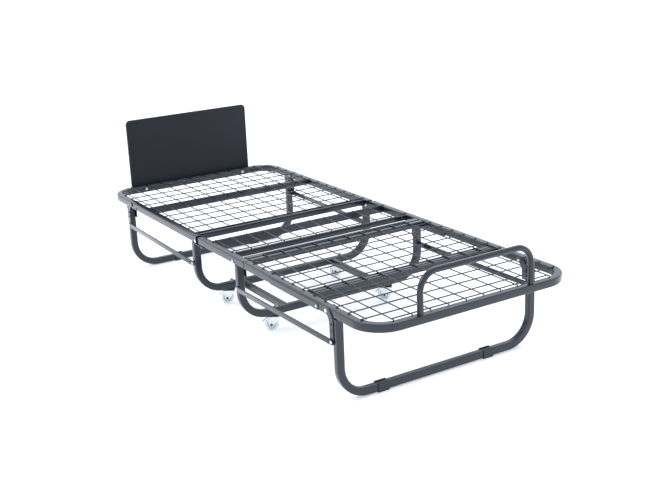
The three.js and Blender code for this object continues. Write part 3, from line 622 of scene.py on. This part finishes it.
# ---------------------------------------------------------------- casters, drawn about their stem
def crown_outline(teeth=12, tip=11.9, root=9.8):
    """The toothed ring of the swivel bearing, as seen from above."""
    points = 4 * teeth
    reach = [tip if k % 4 < 2 else root for k in range(points)]
    return [(r * math.cos(2 * math.pi * k / points), r * math.sin(2 * math.pi * k / points))
            for k, r in enumerate(reach)]


def caster_fork(key, place):
    piece = Piece(f"caster_fork_{key}_pressing", f"caster_swivel_{key}", "zinc", ZINC, DARK_STEEL_AND_PAINTED_SHADE)
    piece.place = place
    foot_r, top = 7.5, CROWN_LOW + 0.1
    cheek = [(FORK_BACK, 51), (TRAIL - foot_r, 20)] + arc(TRAIL, WHEEL_R, foot_r, 210, 330, 8)
    cheek += [(FORK_FRONT, 46), (FORK_FRONT, top), (FORK_BACK, top)]
    plate = [(FORK_BACK, -FORK_HALF), (FORK_FRONT, -FORK_HALF),
             (FORK_FRONT, FORK_HALF), (FORK_BACK, FORK_HALF)]
    slab(piece, cheek, "y", -FORK_HALF, -FORK_HALF + CHEEK, bevel=0.4)
    slab(piece, cheek, "y", FORK_HALF - CHEEK, FORK_HALF, bevel=0.4)
    # The top plate, its toothed crown and the bearing disc take the dark steel colour, which paints the
    # shade over the fork's top; the axle nuts take it too.
    slab(piece, plate, "z", CROWN_LOW, CROWN_TOP, bevel=0.6, mark=1)
    slab(piece, crown_outline(), "z", CROWN_TOP - 0.1, CROWN_TOP + 3.5, bevel=0, mark=1)
    disc(piece, (0, 0, 0), (0, 0, 1), 9.5, CROWN_TOP + 3, CROWN_TOP + 5.6, 28, 1)
    rod(piece, (0, 0, CROWN_TOP + 6), (0, 0, 76), 5, 16)
    rod(piece, (TRAIL, -FORK_HALF, WHEEL_R), (TRAIL, FORK_HALF, WHEEL_R), 2.9, 16)
    for hand in (-1, 1):
        hexagon_nut(piece, (TRAIL, hand * FORK_HALF, WHEEL_R), (0, hand, 0), 5, 1.9, 1)
    piece.done(f"caster_fork_{key}")


def mirrored(half):
    """A wheel's closed profile: one half, its mirror image, and the first point again."""
    return half + [(radius, -height) for radius, height in reversed(half)] + half[:1]


def caster_wheel(key, place):
    """A milky tread on a hub with six spokes on each face."""
    piece = Piece(f"caster_wheel_{key}_moulding", f"caster_wheel_body_{key}", "wheel", MILKY, HUB)
    piece.place = place
    centre, axle = (TRAIL, 0, WHEEL_R), (0, 1, 0)
    tread = [(15, -7), (17, -8.6), (21, -8.4), (23.2, -7), (WHEEL_R, -4.5)]
    hub = [(3.3, -9), (8, -9), (8.6, -6), (15.05, -5)]
    lathe(piece, centre, axle, mirrored(tread), 40)
    lathe(piece, centre, axle, mirrored(hub), 32, 1)
    for spoke in range(6):
        turn = math.pi * spoke / 3
        for hand in (-1, 1):
            ends = [(TRAIL + reach * math.cos(turn), hand * 5.4, WHEEL_R + reach * math.sin(turn))
                    for reach in (8.0, 15.2)]
            rod(piece, ends[0], ends[1], 1.1, 8, 1)
    piece.done(f"caster_wheel_{key}")


def caster_brake(key, place):
    piece = Piece(f"caster_brake_{key}_tab", f"caster_brake_body_{key}", "zinc", ZINC)
    piece.place = place
    x, z, half = 30, 50, 9.7
    slab(piece, [(x, 48), (51.5, 33), (52, 35.5), (x + 1, 51.5)], "y", -8, 8, bevel=0.4)
    rod(piece, (x, -half, z), (x, half, z), 2, 12)
    piece.done(f"caster_brake_{key}")


for end, (x, _) in CART_LEGS.items():
    for name, side in SIDES.items():
        stem = Matrix.Translation((x, side * STEM_Y, 0)) @ Matrix.Rotation(HEADING, 4, "Z")
        for make in (caster_fork, caster_wheel, caster_brake):
            make(f"{end}_{name}", stem)

# ---------------------------------------------------------------- CAD nodes that are shown as they are
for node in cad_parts.values():
    if not node.hide_render:
        node.data.materials.clear()
        node.data.materials.append(COAT)
        node.data.shade_smooth()
        node.data.set_sharp_from_angle(angle=math.radians(30))

# ---------------------------------------------------------------- floor, light and camera
PALE = node_material("pale floor", (0.93, 0.93, 0.93), 0.9, mottle=0.004,
                     Emission_Color=(1, 1, 1, 1), Emission_Strength=0.3)
REACH = 30  # the floor's half side, in metres
floor_mesh = bpy.data.meshes.new("floor")
floor_corners = [(-REACH, -REACH, 0), (REACH, -REACH, 0), (REACH, REACH, 0), (-REACH, REACH, 0)]
floor_mesh.from_pydata(floor_corners, [], [[0, 1, 2, 3]])
floor_mesh.materials.append(PALE)
floor = bpy.data.objects.new("floor", floor_mesh)
bpy.context.scene.collection.objects.link(floor)

world = bpy.data.worlds.new("studio")
world.use_nodes = True
sky = world.node_tree.nodes["Background"]
sky.inputs["Color"].default_value = (0.86, 0.91, 1.0, 1)
sky.inputs["Strength"].default_value = 1.18
bpy.context.scene.world = world


def area_light(name, place, target, size, power):
    lamp = bpy.data.lights.new(name, "AREA")
    lamp.shape = "DISK"
    lamp.size = size
    lamp.energy = power
    thing = bpy.data.objects.new(name, lamp)
    thing.location = place
    thing.rotation_euler = (Vector(target) - Vector(place)).to_track_quat("-Z", "Y").to_euler()
    bpy.context.scene.collection.objects.link(thing)


area_light("key", (-0.5, -3.2, 3.4), (0, 0, 0.3), 2.4, 35)
area_light("top", (-1.0, 1.5, 4.0), (0, 0, 0.3), 3.0, 35)

YAW, PITCH, ROLL = 0.55445, -0.30409, -0.0406
LENS, SENSOR = 57.58, 36.0
EYE = Vector((3243.1, -1886.5, 1410.2)) * MM
ahead = Vector((-math.cos(YAW) * math.cos(PITCH), math.sin(YAW) * math.cos(PITCH), math.sin(PITCH)))
level = ahead.cross(Vector((0, 0, 1))).normalized()
above = level.cross(ahead)
right = level * math.cos(ROLL) + above * math.sin(ROLL)
up = -level * math.sin(ROLL) + above * math.cos(ROLL)
camera = bpy.data.objects.new("camera", bpy.data.cameras.new("camera"))
camera.data.lens = LENS
camera.data.sensor_width = SENSOR
camera.matrix_world = Matrix((right, up, -ahead)).transposed().to_4x4()
camera.location = EYE
bpy.context.scene.collection.objects.link(camera)
bpy.context.scene.camera = camera
bpy.context.scene.view_settings.view_transform = "Standard"
